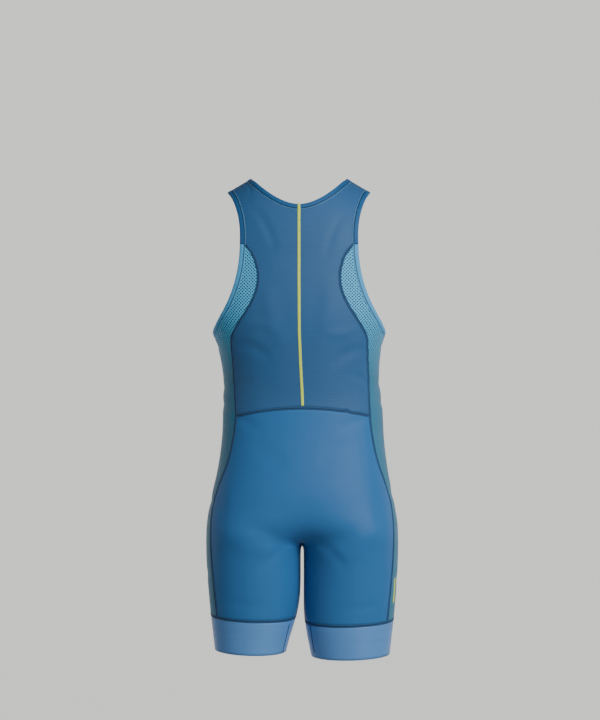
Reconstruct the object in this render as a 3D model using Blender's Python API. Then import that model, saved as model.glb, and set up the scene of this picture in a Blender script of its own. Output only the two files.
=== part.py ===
"""Rowing unisuit: a sleeveless one-piece in stretch cloth, filled out as when worn.

The frame: +Z up, +Y the way the wearer faces, +X the wearer's right. The origin is
midway between the tops of the two shoulder straps, where the garment is held up.
Sizes are in millimetres here, and become metres when a mesh is made.

The cloth follows one surface. A point on it has a place round the body, t, and a
height, v. For the right half, t runs 0 at the centre back (or the inseam, on a leg),
1 at the flank and 2 at the centre front. Below CHEST_TOP the height v is the plain z.
Above it, v runs up a quarter ellipse to the shoulder ridge at CHEST_TOP + SHOULDER_RISE.
"""

import math
from bisect import bisect_right
from functools import lru_cache

import bmesh
import bpy
from mathutils import Vector

METRES_PER_MM = 0.001

# Cloth
WALL = 2.0
SEAM_GAP = 0.3
HALF_GAP = SEAM_GAP / 2
BINDING_WIDTH = 7.0
BINDING_PROUD = 0.4
BINDING_WALL = 3.0
BINDING_CHAMFER = 0.9
TAPE_WIDTH = 5.5
TAPE_WALL = 1.0
TAPE_END = -441.0
TAPE_POINT_DROP = 1.0
TAPE_POINT_SHARE = 0.6
TAPE_CLIMB_OVER = 10.0

# Levels
CHEST_TOP = -150.0
SHOULDER_RISE = 190.0
RIDGE = CHEST_TOP + SHOULDER_RISE
CROTCH = -714.0
TRUNK_POWER = 2.3
LEG_POWER = 2.1
DEPTH_SAMPLES = 24
SWELL_FROM = 60.0

# Neck and shoulders
NECK_HALF_WIDTH = 99.0
NECK_POWER = 1.8
BACK_NECK_DROP = 60.2
FRONT_NECK_DROP = 104.0
RIDGE_TOP_AT = 93.0
RIDGE_SLOPE = 0.589
RIDGE_CROWN = RIDGE_SLOPE * RIDGE_TOP_AT / 2
SHOULDER_SEAM_BACK = 8.0

# Armhole: where the mesh begins, and the lowest point under the arm
ARMHOLE_JOIN = -128.0
ARMHOLE_BOTTOM = -306.0
FRONT_ARMHOLE_CUT = 7.0

# Waist seam, leg band seam and hem, the last two tilted a little on each leg
WAIST_CENTRE = -442.0
WAIST_SIDE = -460.0
BAND_SEAM = (-854.0, 4.0, -4.0)
HEM = (-920.5, 2.0, -2.5)

# Pose: the chest leans aside, one leg is drawn up, and the inner edges drift
LEG_DROP = 4.5
LEG_DROP_FROM = -700.0
LEG_DROP_BY = -850.0
INNER_DRIFT = -7.0
INNER_DRIFT_FROM = -790.0
INNER_DRIFT_BY = -925.0

# The general figure that the cloth is cut for, a row for each section
TRUNK_COLUMNS = ("z", "half_width", "back", "front", "middle")
TRUNK = (
    (-150, 184.0, -112, 106, 0),
    (-220, 184.0, -117, 118, 2),
    (-260, 180.0, -118, 121, 3),
    (-295, 171.5, -116, 121, 4),
    (-325, 161.0, -112, 119, 5),
    (-357, 155.0, -106, 117, 7),
    (-395, 152.0, -99, 114, 9),
    (-435, 156.0, -94, 112, 10),
    (-497, 158.0, -99, 110, 6),
    (-560, 165.0, -111, 108, 0),
    (-622, 177.5, -120, 104, -4),
    (-684, 187.0, -116, 99, -5),
    (-747, 186.3, -105, 94, -5),
)
LEG_COLUMNS = ("z", "half_width", "inner", "back", "front", "middle")
LEG = (
    (-560, 165.0, 0.0, -111, 102, -4),
    (-622, 177.5, 0.0, -115, 100, -5),
    (-684, 187.0, 0.0, -112, 97, -5),
    (-714, 187.2, 0.0, -108, 95, -5),
    (-718, 187.2, 1.4, -107, 94.5, -5),
    (-726, 187.1, 2.0, -105.5, 93.5, -5),
    (-747, 186.3, 2.0, -102, 91.5, -5),
    (-809, 182.3, 2.2, -94, 86, -5),
    (-840, 179.5, 4.0, -90, 82.5, -5),
    (-872, 176.0, 10.7, -86, 79, -5),
    (-903, 172.3, 18.5, -83, 76, -5),
    (-935, 169.0, 26.0, -80, 73, -5),
)
# How far the trunk has parted into legs
PARTING = ((-540, 0.0), (-614, 0.05), (-654, 0.15), (-684, 0.34), (-702, 0.60), (-714, 1.0))
# The seam between the back (and front) panels and the mesh side panel
SIDE_SEAM = (
    (-128, 106.0),
    (-144, 92.0),
    (-163, 82.5),
    (-182, 77.0),
    (-201, 75.8),
    (-220, 79.2),
    (-239, 86.8),
    (-258, 98.2),
    (-277, 110.8),
    (-296, 123.5),
    (-315, 130.3),
    (-353, 129.0),
    (-391, 129.3),
    (-429, 128.0),
    (-467, 128.5),
    (-506, 134.0),
    (-544, 142.5),
    (-582, 157.0),
    (-620, 170.5),
    (-659, 176.5),
    (-697, 178.0),
    (-735, 176.5),
    (-773, 173.5),
    (-811, 169.5),
    (-860, 164.5),
)
# The panels' edge inside the armhole binding
ARMHOLE = (
    (-24.5, 133.0),
    (-39, 122.5),
    (-53, 117.0),
    (-80, 109.0),
    (-112, 106.0),
    (-128, 106.0),
    (-144, 106.2),
    (-175, 109.0),
    (-207, 117.0),
    (-238, 128.0),
    (-270, 146.5),
    (-287, 157.0),
    (-306, 168.2),
)
# How far aside the pose carries each height
LEAN = (
    (0, 0.0),
    (-300, 0.5),
    (-360, 3.0),
    (-420, 6.0),
    (-470, 7.8),
    (-550, 7.5),
    (-620, 6.2),
    (-930, 6.5),
)

STRAP_CROWDING = 1.6
UNDERARM_CROWDING = 1.7
PARTING_SOFTNESS = 0.6

# Rows and columns of the panels
COLUMN_SHARES = (0.0, 0.115, 0.245, 0.365, 0.47, 0.55, 0.615, 0.6747, 0.78, 0.89, 1.0)
NECK_CORNER = 7
LATEST_DROP = 6.0
DROP_ROOM = 0.82
MOST_WIDENING = 0.9
WIDENING_FROM = 0.62
WIDENING_OVER = 0.25
CROTCH_LEVELS = (
    -442, -478, -515, -552, -588, -620, -648, -670, -688, -701, -710, -714,
    -719, -731, -756, -787, -822, -858,
)
CROTCH_ROW = CROTCH_LEVELS.index(-714)
BODICE_ROWS = 15
STRAP_ROWS = 7
OVER_SHOULDER_ROWS = 2
FORK_ROW = 7
SIDE_COLUMNS = 4
BAND_ROWS = 3
TAPE_ROWS = 22

PAINTS = {
    "back_knit": ((0.050, 0.148, 0.300), 0.55),
    "seat_knit": ((0.043, 0.160, 0.355), 0.45),
    "side_mesh": ((0.150, 0.430, 0.660), 0.55),
    "band_satin": ((0.110, 0.240, 0.470), 0.35),
    "trim_blue": ((0.035, 0.120, 0.260), 0.50),
    "trim_light": ((0.130, 0.390, 0.610), 0.50),
    "tape_lime": ((0.620, 0.760, 0.150), 0.50),
}


def clear_scene():
    for thing in list(bpy.data.objects):
        bpy.data.objects.remove(thing)


def mix(low, high, share):
    return low + (high - low) * share


def ease(share):
    share = min(max(share, 0.0), 1.0)
    return share * share * (3 - 2 * share)


def smooth_curve(rows, column=1):
    """A curve through a table's rows that never overshoots them, as a function of z."""
    pairs = sorted((float(row[0]), float(row[column])) for row in rows)
    heights = [pair[0] for pair in pairs]
    values = [pair[1] for pair in pairs]
    steps = [b - a for a, b in zip(heights, heights[1:])]
    rises = [(b - a) / step for a, b, step in zip(values, values[1:], steps)]
    slopes = [rises[0]]
    for before, after in zip(rises, rises[1:]):
        slopes.append(2 * before * after / (before + after) if before * after > 0 else 0.0)
    slopes.append(rises[-1])

    def value(z):
        z = min(max(z, heights[0]), heights[-1])
        k = min(max(bisect_right(heights, z) - 1, 0), len(steps) - 1)
        s = (z - heights[k]) / steps[k]
        start = (1 + 2 * s) * (1 - s) ** 2 * values[k] + s * (1 - s) ** 2 * steps[k] * slopes[k]
        end = s * s * (3 - 2 * s) * values[k + 1] + s * s * (s - 1) * steps[k] * slopes[k + 1]
        return start + end

    return value


TRUNK_AT = {name: smooth_curve(TRUNK, i) for i, name in enumerate(TRUNK_COLUMNS) if i}
LEG_AT = {name: smooth_curve(LEG, i) for i, name in enumerate(LEG_COLUMNS) if i}
parting_at = smooth_curve(PARTING)
side_seam_at = smooth_curve(SIDE_SEAM)
armhole_at = smooth_curve(ARMHOLE)
lean_at = smooth_curve(LEAN)


def rounded(angle, power):
    """(across, along) of a superellipse: angle 0 points back and a right angle to the flank."""
    across = math.copysign(abs(math.sin(angle)) ** (2 / power), math.sin(angle))
    along = math.copysign(abs(math.cos(angle)) ** (2 / power), math.cos(angle))
    return across, along


def depth(table, z, along):
    """The y that a share of the section's depth stands for, towards the back where positive."""
    middle = table["middle"](z)
    reach = table["back"](z) if along > 0 else table["front"](z)
    return middle + (reach - middle) * abs(along)


def trunk_point(t, z):
    across, along = rounded(t * math.pi / 2, TRUNK_POWER)
    return Vector((across * TRUNK_AT["half_width"](z), depth(TRUNK_AT, z, along), z))


def leg_point(t, z):
    across, along = rounded((t - 0.5) * math.pi if t <= 1 else math.pi * (t - 0.5), LEG_POWER)
    inner = LEG_AT["inner"](z)
    outer = LEG_AT["half_width"](z)
    x = (inner + outer) / 2 + across * (outer - inner) / 2
    return Vector((x, depth(LEG_AT, z, along), z))


def parting_point(t, z, parted):
    """A point of a section that is part trunk and part leg."""
    softness = 1 + PARTING_SOFTNESS * (1 - parted)
    back_share = min(t, 2 - t) ** softness
    late = back_share if t <= 1 else 2 - back_share
    return trunk_point(t, z).lerp(leg_point(late, z), parted)


@lru_cache(maxsize=None)
def parting_swell(z, parted, front):
    """What brings a parting section's depth back to the figure's."""
    places = [1 + k / DEPTH_SAMPLES if front else k / DEPTH_SAMPLES for k in range(DEPTH_SAMPLES)]
    reach = max(abs(parting_point(t, z, parted).y) for t in places)
    name = "front" if front else "back"
    return abs(mix(TRUNK_AT[name](z), LEG_AT[name](z), parted)) / reach


def section_point(t, z):
    """A point of the right half's section at height z."""
    if z <= CROTCH:
        return leg_point(t, z)
    parted = parting_at(z)
    if parted == 0:
        return trunk_point(t, z)
    point = parting_point(t, z, parted)
    point.y *= mix(1.0, parting_swell(z, parted, t > 1), ease(abs(point.y) / SWELL_FROM))
    return point


def ridge_height(x):
    """The height of the shoulder line, which falls away from the neck."""
    if x >= RIDGE_TOP_AT:
        return -RIDGE_SLOPE * (x - RIDGE_TOP_AT)
    return RIDGE_CROWN * (1 - (x / RIDGE_TOP_AT) ** 2)


def cloth_point(t, v):
    """The garment's outer face on the right half. Above RIDGE, v goes on down the far side."""
    if v <= CHEST_TOP:
        return section_point(t, v)
    turn = (v - CHEST_TOP) / SHOULDER_RISE * math.pi / 2
    base = section_point(t if turn <= math.pi / 2 else 2 - t, CHEST_TOP)
    rise = ridge_height(base.x) - CHEST_TOP
    return Vector((base.x, base.y * abs(math.cos(turn)), CHEST_TOP + rise * math.sin(turn)))


def height_at(x, z):
    """The v of a point at this width and true height."""
    if z <= CHEST_TOP:
        return z
    share = min((z - CHEST_TOP) / (ridge_height(x) - CHEST_TOP), 1.0)
    return CHEST_TOP + SHOULDER_RISE * math.asin(share) / (math.pi / 2)


def round_at(x, z):
    """The t, on the back, of a point at this width."""
    z = min(z, CHEST_TOP)
    low, high = (0.0, 1.0) if z > CROTCH else (0.3, 1.0)
    for _ in range(40):
        middle = (low + high) / 2
        if section_point(middle, z).x < x:
            low = middle
        else:
            high = middle
    return (low + high) / 2


def posed(point):
    """The point as the wearer's stance carries it."""
    x, y, z = point
    inner = LEG_AT["inner"](min(z, CROTCH))
    outer = max(TRUNK_AT["half_width"](z) if z > CROTCH else LEG_AT["half_width"](z), 1.0)
    drift = INNER_DRIFT * ease((z - INNER_DRIFT_FROM) / (INNER_DRIFT_BY - INNER_DRIFT_FROM))
    inwards = min(max((outer - abs(x)) / (outer - inner), 0.0), 1.0)
    drop = LEG_DROP * ease((z - LEG_DROP_FROM) / (LEG_DROP_BY - LEG_DROP_FROM))
    return Vector((x + lean_at(z) + drift * inwards, y, z - math.copysign(drop, x)))


def placed(t, v, side):
    point = cloth_point(t, v)
    point.x *= side
    return posed(point)


def outward(t, v, side):
    """The cloth's outward normal."""
    on_centre = t in (0, 2) and v > CROTCH - 0.5
    if on_centre and v < CROTCH + 0.5:
        return Vector((0, 0, -1))
    low_t, high_t = max(t - 0.004, 0.0), min(t + 0.004, 2.0)
    round_step = placed(high_t, v, side) - placed(low_t, v, side)
    up_step = placed(t, v + 1.2, side) - placed(t, v - 1.2, side)
    if on_centre:
        round_step = Vector((side if t == 0 else -side, 0, 0))
    if v > RIDGE:
        round_step = -round_step
    normal = (round_step.cross(up_step) * side).normalized()
    if v > RIDGE:
        normal = -normal
    return normal


class Spot:
    """One point of a panel: where it lies, and which way is out of the garment."""

    def __init__(self, t, v, side):
        self.at = placed(t, v, side)
        self.out = outward(t, v, side)
        self.move = Vector()


def shrink_edge(edge, inner):
    """Moves an edge half a seam gap into its panel. inner holds each spot's neighbour inside."""
    for k, spot in enumerate(edge):
        along = edge[min(k + 1, len(edge) - 1)].at - edge[max(k - 1, 0)].at
        along.normalize()
        inside = inner[k].at - spot.at
        inside -= along * inside.dot(along)
        if inside.length > 1e-6:
            spot.move += inside.normalized() * HALF_GAP


def column(grid, j):
    return [row[j] for row in grid]


def settle(grid):
    for row in grid:
        for spot in row:
            spot.at = spot.at + spot.move
            spot.move = Vector()


def add_sheet(bm, grid):
    """The faces of a grid of spots, with each vertex keeping its way out."""
    layer = bm.verts.layers.float_vector["out"]
    rows = []
    for row in grid:
        rows.append([])
        for spot in row:
            vert = bm.verts.new(spot.at)
            vert[layer] = spot.out
            rows[-1].append(vert)
    for upper, lower in zip(rows, rows[1:]):
        for a, b, c, d in zip(upper, upper[1:], lower[1:], lower):
            bm.faces.new((a, b, c, d))


def new_sheet():
    bm = bmesh.new()
    bm.verts.layers.float_vector.new("out")
    return bm


def thicken(bm, wall):
    """Gives a sheet its wall, inwards from the outer face."""
    bmesh.ops.remove_doubles(bm, verts=bm.verts[:], dist=0.01)
    layer = bm.verts.layers.float_vector["out"]
    made = bmesh.ops.extrude_face_region(bm, geom=bm.faces[:], use_keep_orig=True)
    for item in made["geom"]:
        if isinstance(item, bmesh.types.BMVert):
            item.co -= item[layer].normalized() * wall
    bmesh.ops.recalc_face_normals(bm, faces=bm.faces[:])


def paint(slot):
    material = bpy.data.materials.get(slot) or bpy.data.materials.new(slot)
    colour, roughness = PAINTS[slot]
    material.use_nodes = True
    shader = material.node_tree.nodes["Principled BSDF"]
    shader.inputs["Base Color"].default_value = (*colour, 1.0)
    shader.inputs["Roughness"].default_value = roughness
    shader.inputs["Metallic"].default_value = 0.0
    return material


def finish(name, bm, slot):
    """Makes the node from a mesh in millimetres, with its faces pointing out."""
    if bm.calc_volume(signed=True) < 0:
        bmesh.ops.reverse_faces(bm, faces=bm.faces[:])
    bmesh.ops.scale(bm, vec=(METRES_PER_MM,) * 3, verts=bm.verts[:])
    mesh = bpy.data.meshes.new(name)
    bm.to_mesh(mesh)
    bm.free()
    mesh.materials.append(paint(slot))
    mesh.shade_smooth()
    mesh.set_sharp_from_angle(angle=math.radians(50))
    thing = bpy.data.objects.new(name, mesh)
    bpy.context.scene.collection.objects.link(thing)


def tilted(level, t):
    """The height at t of a leg band's edge. level is (height, rise outwards, rise backwards)."""
    across, along = rounded((t - 0.5) * math.pi, LEG_POWER)
    return level[0] + level[1] * across + level[2] * along


def waist_height(x):
    return mix(WAIST_CENTRE, WAIST_SIDE, (x / side_seam_at(WAIST_SIDE)) ** 2)


def seam_round(z):
    return round_at(side_seam_at(z), z)


def across_panel(t_back, front):
    """The mirror image in t of a place on the back, where the panel is a front."""
    return 2 - t_back if front else t_back


def shorts_seam_levels():
    """Heights down the side seam from the waist to the leg band, a level for each row."""
    count = len(CROTCH_LEVELS) - 1
    bottom = tilted(BAND_SEAM, seam_round(BAND_SEAM[0]))
    return [mix(WAIST_SIDE, bottom, k / count) for k in range(count + 1)]


def bodice_seam_levels():
    """Heights up the side seam from the waist to the armhole."""
    return [mix(WAIST_SIDE, ARMHOLE_JOIN, k / BODICE_ROWS) for k in range(BODICE_ROWS + 1)]


def shorts_grid(side, front):
    """Half of the seat, or of the front's lower part, from the waist down."""
    seam_levels = shorts_seam_levels()
    count = len(seam_levels) - 1
    grid = []
    for k, (inner_z, outer_z) in enumerate(zip(CROTCH_LEVELS, seam_levels)):
        row = []
        for share in COLUMN_SHARES:
            z = mix(inner_z, outer_z, ease(share))
            if k == 0:
                t = share * seam_round(outer_z)
                z = waist_height(section_point(t, outer_z).x)
            if k == count:
                t = across_panel(share * seam_round(outer_z), front)
                z = tilted(BAND_SEAM, t)
            t = share * seam_round(z if 0 < k < count else outer_z)
            row.append(Spot(across_panel(t, front), z, side))
        grid.append(row)
    return grid


def armhole_stations(front):
    """(t, v) up a strap's armhole edge, from where the mesh begins to the shoulder seam."""
    stations = []
    for k in range(1, STRAP_ROWS + 1):
        share = k / STRAP_ROWS
        z = mix(ARMHOLE_JOIN, ARMHOLE[0][0], 1 - (1 - share) ** STRAP_CROWDING)
        x = armhole_at(z) - front * FRONT_ARMHOLE_CUT * math.sin(math.pi * share)
        stations.append((round_at(x, z), height_at(x, z)))
    t, v = stations[-1]
    stations[-1] = (t, shoulder_seam_height(t))
    return stations


def shoulder_seam_height(t):
    """The v of the shoulder seam, which lies a little behind the ridge."""
    reach = -section_point(t, CHEST_TOP).y
    return CHEST_TOP + SHOULDER_RISE * math.acos(SHOULDER_SEAM_BACK / reach) / (math.pi / 2)


def neck_height(t, drop):
    """The v of the neckline at t, on the back or on the front."""
    x = section_point(t, CHEST_TOP).x
    corner = ridge_height(NECK_HALF_WIDTH)
    z = corner - drop * (1 - min(x / NECK_HALF_WIDTH, 1.0) ** NECK_POWER)
    return height_at(x, z)


def top_of_column(j, seam_t, front):
    """The v where a column of the bodice ends, at the neckline or at the shoulder."""
    t = COLUMN_SHARES[j] * seam_t
    if j < NECK_CORNER:
        return neck_height(t, FRONT_NECK_DROP if front else BACK_NECK_DROP)
    return RIDGE if front else shoulder_seam_height(t)


def bodice_grid(side, front):
    """Half of the upper back, or of the upper front, from the waist up."""
    outer = [(seam_round(z), height_at(side_seam_at(z), z)) for z in bodice_seam_levels()]
    outer += armhole_stations(front)
    seam_t, seam_v = outer[-1]
    over = []
    if front:
        seam_far = 2 * RIDGE - seam_v
        outer[-1] = (seam_t, RIDGE)
        over = [mix(RIDGE, seam_far, k / OVER_SHOULDER_ROWS) for k in range(1, OVER_SHOULDER_ROWS + 1)]
    base = outer[0][1]
    span = outer[-1][1] - base
    grid = []
    for t_outer, v_outer in outer:
        rise = (v_outer - base) / span
        widening = MOST_WIDENING * ease((rise - WIDENING_FROM) / WIDENING_OVER)
        row = []
        for j, share in enumerate(COLUMN_SHARES):
            lift = waist_height(section_point(share * outer[0][0], WAIST_SIDE).x) - base
            drop = outer[-1][1] - top_of_column(j, seam_t, front)
            late = min(LATEST_DROP, DROP_ROOM * span / max(drop, 1.0))
            v = v_outer + lift * (1 - rise) - drop * rise**late
            widened = widening * (seam_t - t_outer) * (1 - share) / (1 - COLUMN_SHARES[NECK_CORNER])
            row.append(Spot(across_panel(share * (t_outer + widened), front), v, side))
        grid.append(row)
    for v in over:
        row = grid[-1][:NECK_CORNER]
        for share in COLUMN_SHARES[NECK_CORNER:]:
            t = share * seam_t
            far = 2 * RIDGE - shoulder_seam_height(t)
            level = mix(RIDGE, far, (v - RIDGE) / (seam_far - RIDGE))
            row.append(Spot(2 - t, level, side))
        grid.append(row)
    return grid


def side_grid(side, front):
    """Half of a mesh side panel, from the leg band up, from the seam to the flank or armhole."""
    shorts = shorts_seam_levels()[::-1]
    bodice = bodice_seam_levels()[1:]
    edge = underarm_stations(front)
    grid = []
    for k, z in enumerate(shorts + bodice[: FORK_ROW - 1]):
        row = []
        for j in range(SIDE_COLUMNS + 1):
            share = j / SIDE_COLUMNS
            t = mix(seam_round(z), 1.0, share)
            level = z
            if k == 0:
                level = tilted(BAND_SEAM, across_panel(t, front))
            if k >= len(shorts):
                drop = (k + 1 - len(shorts)) / FORK_ROW
                level = mix(z, mix(WAIST_SIDE, ARMHOLE_BOTTOM, drop), share)
            row.append(Spot(across_panel(t, front), level, side))
        grid.append(row)
    for z, (t_edge, v_edge) in zip(bodice[FORK_ROW - 1 :], edge):
        row = []
        t_seam, v_seam = seam_round(z), height_at(side_seam_at(z), z)
        for j in range(SIDE_COLUMNS + 1):
            share = j / SIDE_COLUMNS
            t = mix(t_seam, t_edge, share)
            row.append(Spot(across_panel(t, front), mix(v_seam, v_edge, share), side))
        grid.append(row)
    return grid


def underarm_stations(front):
    """(t, v) from the bottom of the armhole up to just under where the mesh begins."""
    count = BODICE_ROWS - FORK_ROW
    stations = []
    for k in range(count + 1):
        share = k / count
        z = mix(ARMHOLE_BOTTOM, ARMHOLE_JOIN - 1.0, share**UNDERARM_CROWDING)
        x = armhole_at(z)
        t = 1.0 if k == 0 else round_at(x, z)
        stations.append((t, height_at(x, z)))
    return stations


def make_panel(name, slot, halves):
    bm = new_sheet()
    for grid in halves:
        settle(grid)
        add_sheet(bm, grid)
    thicken(bm, WALL)
    finish(name, bm, slot)


def back_panel():
    """Returns copies of the edges that the bindings follow."""
    edges = {}
    halves = []
    for side in (1, -1):
        grid = bodice_grid(side, False)
        edges[side] = {
            "strap": [copy_spot(row[-1]) for row in grid[BODICE_ROWS:]],
            "inside": [row[-2].at.copy() for row in grid[BODICE_ROWS:]],
            "neck": [copy_spot(spot) for spot in grid[-1][: NECK_CORNER + 1]],
        }
        shrink_edge(column(grid, -1)[: BODICE_ROWS + 1], column(grid, -2)[: BODICE_ROWS + 1])
        shrink_edge(grid[0], grid[1])
        shrink_edge(grid[-1][NECK_CORNER:], grid[-2][NECK_CORNER:])
        halves.append(grid)
    make_panel("back_panel", "back_knit", halves)
    return edges


def copy_spot(spot):
    twin = Spot.__new__(Spot)
    twin.at = spot.at.copy()
    twin.out = spot.out.copy()
    twin.move = Vector()
    return twin


def shrink_shorts(grid):
    shrink_edge(column(grid, -1), column(grid, -2))
    shrink_edge(grid[-1], grid[-2])
    shrink_edge(column(grid, 0)[CROTCH_ROW + 1 :], column(grid, 1)[CROTCH_ROW + 1 :])
    crotch = grid[CROTCH_ROW][0]
    crotch.move += Vector((0, math.copysign(HALF_GAP, grid[CROTCH_ROW][1].at.y - crotch.at.y), 0))


def seat_panel():
    halves = []
    for side in (1, -1):
        grid = shorts_grid(side, False)
        shrink_shorts(grid)
        shrink_edge(grid[0], grid[1])
        halves.append(grid)
    make_panel("seat_panel", "seat_knit", halves)


def front_panel():
    """Returns copies of the edges that the bindings follow."""
    edges = {}
    halves = []
    for side in (1, -1):
        lower = shorts_grid(side, True)
        upper = bodice_grid(side, True)
        straight_waist = upper[0]
        lower[0] = straight_waist
        over_from = len(upper) - OVER_SHOULDER_ROWS
        strap = column(upper, -1)[BODICE_ROWS:]
        inside = [row[-2].at.copy() for row in upper[BODICE_ROWS:]]
        edges[side] = {
            "strap": [copy_spot(spot) for spot in strap],
            "inside": inside,
            "neck": [copy_spot(spot) for spot in upper[over_from - 1][:NECK_CORNER]],
            "over": [copy_spot(row[NECK_CORNER]) for row in upper[over_from - 1 :]],
        }
        shrink_shorts(lower)
        seam = column(upper, -1)[: BODICE_ROWS + 1]
        shrink_edge(seam[1:], column(upper, -2)[1 : BODICE_ROWS + 1])
        shrink_edge(upper[-1][NECK_CORNER:], upper[-2][NECK_CORNER:])
        halves += [lower, upper[:over_from]]
        halves.append([row[NECK_CORNER:] for row in upper[over_from - 1 :]])
    spots = {id(spot): spot for grid in halves for row in grid for spot in row}
    for spot in spots.values():
        spot.at = spot.at + spot.move
        spot.move = Vector()
    make_panel("front_panel", "seat_knit", halves)
    return edges


def side_panel(side, name):
    halves = []
    edges = []
    for front in (False, True):
        grid = side_grid(side, front)
        first_edge_row = len(grid) - (BODICE_ROWS - FORK_ROW) - 1
        edges.append(
            {
                "edge": [copy_spot(row[-1]) for row in grid[first_edge_row:]],
                "inside": [row[-2].at.copy() for row in grid[first_edge_row:]],
            }
        )
        shrink_edge(column(grid, 0), column(grid, 1))
        shrink_edge(grid[0], grid[1])
        halves.append(grid)
    make_panel(name, "side_mesh", halves)
    return edges


def leg_band(side, name):
    """A closed tube from the band seam to the hem."""
    seam = seam_round(shorts_seam_levels()[-1])
    back = [share * seam for share in COLUMN_SHARES]
    back += [mix(seam, 1.0, j / SIDE_COLUMNS) for j in range(1, SIDE_COLUMNS + 1)]
    places = back + [2 - t for t in back[-2:0:-1]]
    bm = new_sheet()
    grid = []
    for k in range(BAND_ROWS + 1):
        row = []
        for t in places:
            z = mix(tilted(BAND_SEAM, t), tilted(HEM, t), k / BAND_ROWS)
            row.append(Spot(t, z, side))
        row.append(row[0])
        grid.append(row)
    top = grid[0][:-1]
    shrink_edge(top, grid[1][:-1])
    for spot in top:
        spot.at = spot.at + spot.move
        spot.move = Vector()
    add_sheet(bm, grid)
    thicken(bm, WALL)
    finish(name, bm, "band_satin")


BINDING_SECTION = (
    (SEAM_GAP, BINDING_PROUD),
    (SEAM_GAP + BINDING_WIDTH - BINDING_CHAMFER, BINDING_PROUD),
    (SEAM_GAP + BINDING_WIDTH, BINDING_PROUD - BINDING_CHAMFER),
    (SEAM_GAP + BINDING_WIDTH, BINDING_PROUD - BINDING_WALL + BINDING_CHAMFER),
    (SEAM_GAP + BINDING_WIDTH - BINDING_CHAMFER, BINDING_PROUD - BINDING_WALL),
    (SEAM_GAP, BINDING_PROUD - BINDING_WALL),
)


def binding_frames(spots, insides):
    """For a closed run of edge spots: (place, along, away from the panel, out)."""
    frames = []
    count = len(spots)
    for k, spot in enumerate(spots):
        along = (spots[(k + 1) % count].at - spots[k - 1].at).normalized()
        out = (spot.out - along * spot.out.dot(along)).normalized()
        away = along.cross(out).normalized()
        if away.dot(spot.at - insides[k]) < 0:
            away = -away
        frames.append((spot.at, along, away, out))
    return frames


def add_binding(bm, frames, closed):
    rings = []
    for at, _, away, out in frames:
        rings.append([bm.verts.new(at + away * d + out * n) for d, n in BINDING_SECTION])
    pairs = list(zip(rings, rings[1:]))
    if closed:
        pairs.append((rings[-1], rings[0]))
    sides = len(BINDING_SECTION)
    for ring, after in pairs:
        for k in range(sides):
            m = (k + 1) % sides
            bm.faces.new((ring[k], ring[m], after[m], after[k]))
    if not closed:
        bm.faces.new(rings[0])
        bm.faces.new(rings[-1])
    bmesh.ops.recalc_face_normals(bm, faces=bm.faces[:])


def make_binding(name, slot, frames, closed=False):
    if not closed:
        frames = list(frames)
        for end, way in ((0, 1), (-1, -1)):
            at, along, away, out = frames[end]
            frames[end] = (at + along * HALF_GAP * way, along, away, out)
    bm = bmesh.new()
    add_binding(bm, frames, closed)
    finish(name, bm, slot)


def neck_binding(back_edges, front_edges):
    spots, insides = [], []
    for side in (1, -1):
        back, front = back_edges[side], front_edges[side]
        half = back["neck"][:-1] + front["over"][::-1] + front["neck"][::-1]
        below = Vector((0, 0, -30))
        outside = Vector((40 * side, 0, 0))
        near = [spot.at + (below if k < 4 else outside) for k, spot in enumerate(half)]
        near[-4:] = [spot.at + below for spot in half[-4:]]
        if side < 0:
            half, near = half[::-1][1:-1], near[::-1][1:-1]
        spots += half
        insides += near
    make_binding("neck_binding", "trim_blue", binding_frames(spots, insides), closed=True)
    return binding_frames(spots, insides)[0]


def armhole_bindings(side, word, back, front, underarm):
    """The two lengths of one armhole's binding, cut square where they meet."""
    back_horn, front_horn = underarm
    strap = back["strap"] + front["strap"][::-1][1:]
    strap_inside = back["inside"] + front["inside"][::-1][1:]
    under = front_horn["edge"][::-1][1:] + back_horn["edge"][1:-1]
    under_inside = front_horn["inside"][::-1][1:] + back_horn["inside"][1:-1]
    frames = binding_frames(strap + under, strap_inside + under_inside)
    strap_frames = frames[: len(strap)]
    under_frames = frames[len(strap) - 1 :] + frames[:1]
    make_binding(f"strap_binding_{word}", "trim_blue", strap_frames)
    make_binding(f"underarm_binding_{word}", "trim_light", under_frames)


def back_tape(neck_frame):
    """The lime tape, laid on the back panel and on over the neck binding."""
    half = TAPE_WIDTH / 2
    top = neck_height(0.0, BACK_NECK_DROP)
    lift = SEAM_GAP + TAPE_WALL
    grid = []
    for k in range(TAPE_ROWS + 1):
        v = mix(TAPE_END, top, k / TAPE_ROWS)
        width = half * (TAPE_POINT_SHARE if k == 0 else 1.0)
        climb = BINDING_PROUD * ease(1 + (v - top) / TAPE_CLIMB_OVER)
        row = []
        for across in (-width, 0, width):
            side = -1 if across < 0 else 1
            t = 0.0 if across == 0 else round_at(abs(across), min(v, CHEST_TOP))
            spot = Spot(t, v, side)
            spot.at = spot.at + spot.out * (lift + climb)
            row.append(spot)
        grid.append(row)
        if k == 0:
            for spot in row:
                spot.at.z -= TAPE_POINT_DROP
    _, _, away, out = neck_frame
    for reach in (0.5, 1.0):
        row = []
        for spot in grid[TAPE_ROWS]:
            twin = copy_spot(spot)
            twin.at = twin.at + away * reach * BINDING_WIDTH
            row.append(twin)
        grid.append(row)
    bm = new_sheet()
    add_sheet(bm, grid)
    thicken(bm, TAPE_WALL)
    finish("back_tape", bm, "tape_lime")


def main():
    clear_scene()
    back_edges = back_panel()
    seat_panel()
    front_edges = front_panel()
    neck_frame = neck_binding(back_edges, front_edges)
    for side, word in ((1, "right"), (-1, "left")):
        underarm = side_panel(side, f"side_panel_{word}")
        leg_band(side, f"leg_band_{word}")
        armhole_bindings(side, word, back_edges[side], front_edges[side], underarm)
    back_tape(neck_frame)


main()
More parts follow.
